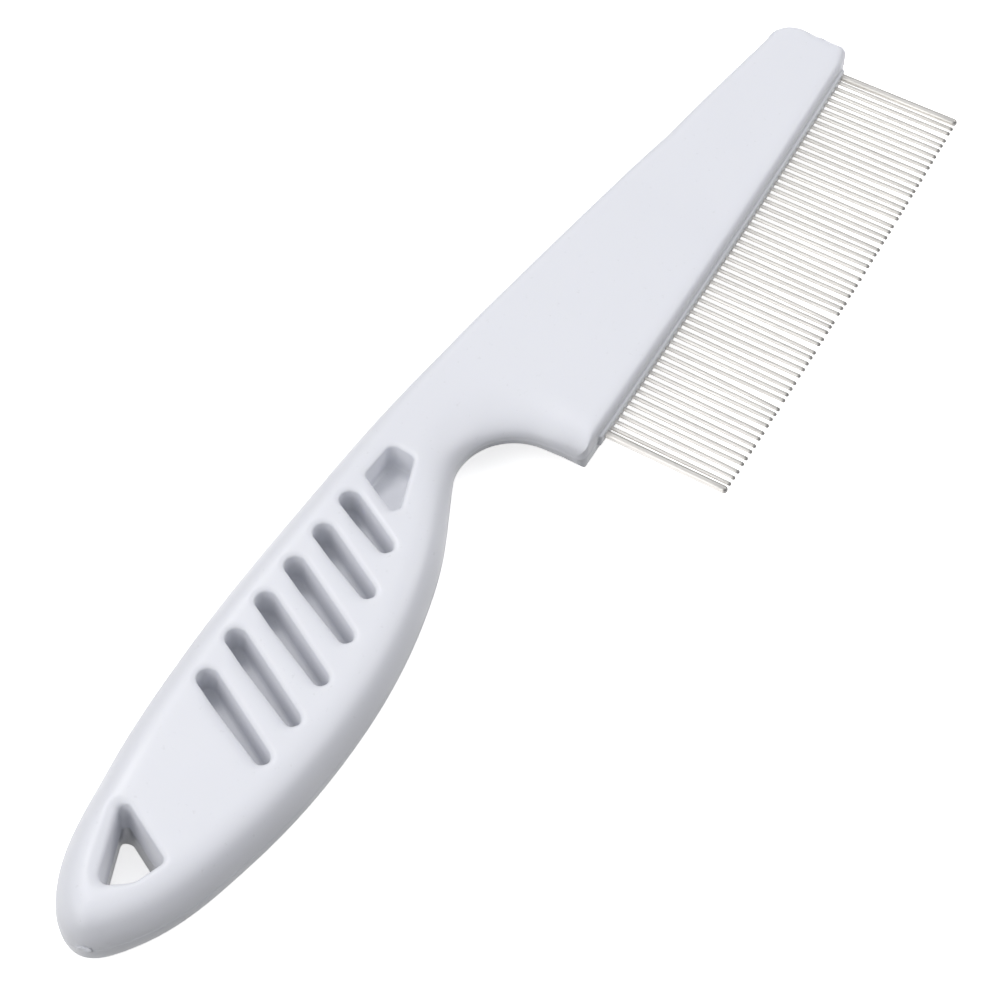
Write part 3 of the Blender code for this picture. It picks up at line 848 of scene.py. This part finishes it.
def pale_floor(name):
    """A plain pale table top with a very faint grain, glowing a little."""
    look = Look(name)
    grain = look.noise(18.0, 5.0)
    colour = look.mix(grain, (0.90, 0.90, 0.905, 1.0), (0.93, 0.93, 0.93, 1.0))
    rough = look.spread(grain, 0.3, 0.7, 0.55, 0.7)
    normal = look.bump(look.noise(400.0, 3.0), 0.00003, 0.2)
    return look.join(
        Base_Color=colour, Roughness=rough, Normal=normal,
        Emission_Color=(1.0, 1.0, 1.0, 1.0), Emission_Strength=0.7)


# ---- the object ---------------------------------------------------------------------------------

white = moulded_plastic("white_plastic_look", (0.66, 0.67, 0.705, 1.0), (0.63, 0.64, 0.68, 1.0), 0.34)
bar_white = moulded_plastic("bar_plastic_look", (0.64, 0.65, 0.68, 1.0), (0.61, 0.62, 0.65, 1.0), 0.40)
steel = drawn_steel("pin_steel_look")

handle = new_piece("comb_body", *handle_mesh(), white)
fix_normals(handle)
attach(handle, "root")
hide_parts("handle")

gate = new_piece("gate_mark", *gate_mark(), white, sharp=25)
fix_normals(gate)
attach(gate, "root")
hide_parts("handle")

bar = new_piece("pin_strip", *bar_mesh(), bar_white)
fix_normals(bar)
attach(bar, "root")
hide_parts("pin_bar")

stood_for = {0: "guard_pin_neck", PIN_COUNT + 1: "guard_pin_tip"}
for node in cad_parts:
    if node.startswith("pin_") and node != "pin_bar":
        for number in node.split("_")[1:]:
            if number.isdigit():
                stood_for[int(number)] = node
chance = np.random.RandomState(7)
for index in range(PIN_COUNT + 2):
    bend_x, bend_z = chance.normal(0.0, STRAY_ACROSS), chance.normal(0.0, STRAY_UP)
    pin = wire(index, KNOCKED.get(index, bend_x), bend_z, steel)
    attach(pin, "root")
    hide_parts(stood_for[index])

# ---- stage, light, camera -----------------------------------------------------------------------

FLOOR_REACH = 4.0                  # metres
FLOOR_GAP = 0.05                   # millimetres, so that the floor and the comb share no plane
SKY_TINT = (0.94, 0.96, 1.0, 1.0)
SKY_STRENGTH = 0.62
SKY_FULL_HEIGHT = 0.45             # the sine of the height from which the sky has its full strength
LAMP_TINT = (1.0, 0.985, 0.97)
FILL_TINT = (1.0, 0.98, 0.97)

floor_mesh = bpy.data.meshes.new("floor")
corners = [(x * FLOOR_REACH, y * FLOOR_REACH, 0) for x, y in ((-1, -1), (1, -1), (1, 1), (-1, 1))]
floor_mesh.from_pydata(corners, [], [(0, 1, 2, 3)])
floor_mesh.materials.append(pale_floor("pale_floor_look"))
floor = bpy.data.objects.new("floor", floor_mesh)
floor.location.z = -FLOOR_GAP * MM
bpy.context.scene.collection.objects.link(floor)
floor.visible_diffuse = False

world = bpy.data.worlds.new("studio")
world.use_nodes = True
sky = world.node_tree.nodes
sky["Background"].inputs["Color"].default_value = SKY_TINT
direction = sky.new("ShaderNodeTexCoord")
parts = sky.new("ShaderNodeSeparateXYZ")
dome = sky.new("ShaderNodeMapRange")
dome.inputs["From Min"].default_value = 0.0
dome.inputs["From Max"].default_value = SKY_FULL_HEIGHT
dome.inputs["To Max"].default_value = SKY_STRENGTH
world.node_tree.links.new(direction.outputs["Generated"], parts.inputs["Vector"])
world.node_tree.links.new(parts.outputs["Z"], dome.inputs["Value"])
world.node_tree.links.new(dome.outputs["Result"], sky["Background"].inputs["Strength"])
bpy.context.scene.world = world
bpy.context.scene.view_settings.view_transform = "Standard"


def softbox(name, turn, rise, size, power, tint=LAMP_TINT):
    """A square area light 1 m from the origin, at a turn and a rise in degrees, facing it."""
    a, e = radians(turn), radians(rise)
    place = Vector((cos(e) * cos(a), cos(e) * sin(a), sin(e)))
    lamp = bpy.data.lights.new(name, "AREA")
    lamp.size = size
    lamp.energy = power
    lamp.color = tint
    box = bpy.data.objects.new(name, lamp)
    box.location = place
    box.rotation_mode = "QUATERNION"
    box.rotation_quaternion = (-place).to_track_quat("-Z", "Y")
    bpy.context.scene.collection.objects.link(box)


softbox("wide_key", 135, 45, 0.6, 2.4)
softbox("small_key", 60, 53, 0.3, 3.0)
softbox("low_side", 168, 22, 0.5, 2.3)
softbox("fill", 318, 40, 0.6, 3.4, FILL_TINT)

CAMERA_PLACE = (-240.5, -94.3, 345.3)      # millimetres from the datum
CAMERA_TURN = Matrix((
    (0.475603, 0.702820, -0.529005),
    (-0.878288, 0.412978, -0.240956),
    (0.049119, 0.579217, 0.813692),
))
camera = bpy.data.objects.new("camera", bpy.data.cameras.new("camera"))
camera.data.lens = 120.0
camera.data.sensor_width = 36.0
camera.data.clip_start = 0.01
camera.data.clip_end = 20.0
spot = (np.array(CAMERA_PLACE) + DATUM) * MM
camera.matrix_world = Matrix.Translation(Vector(spot)) @ CAMERA_TURN.to_4x4()
bpy.context.scene.collection.objects.link(camera)
bpy.context.scene.camera = camera
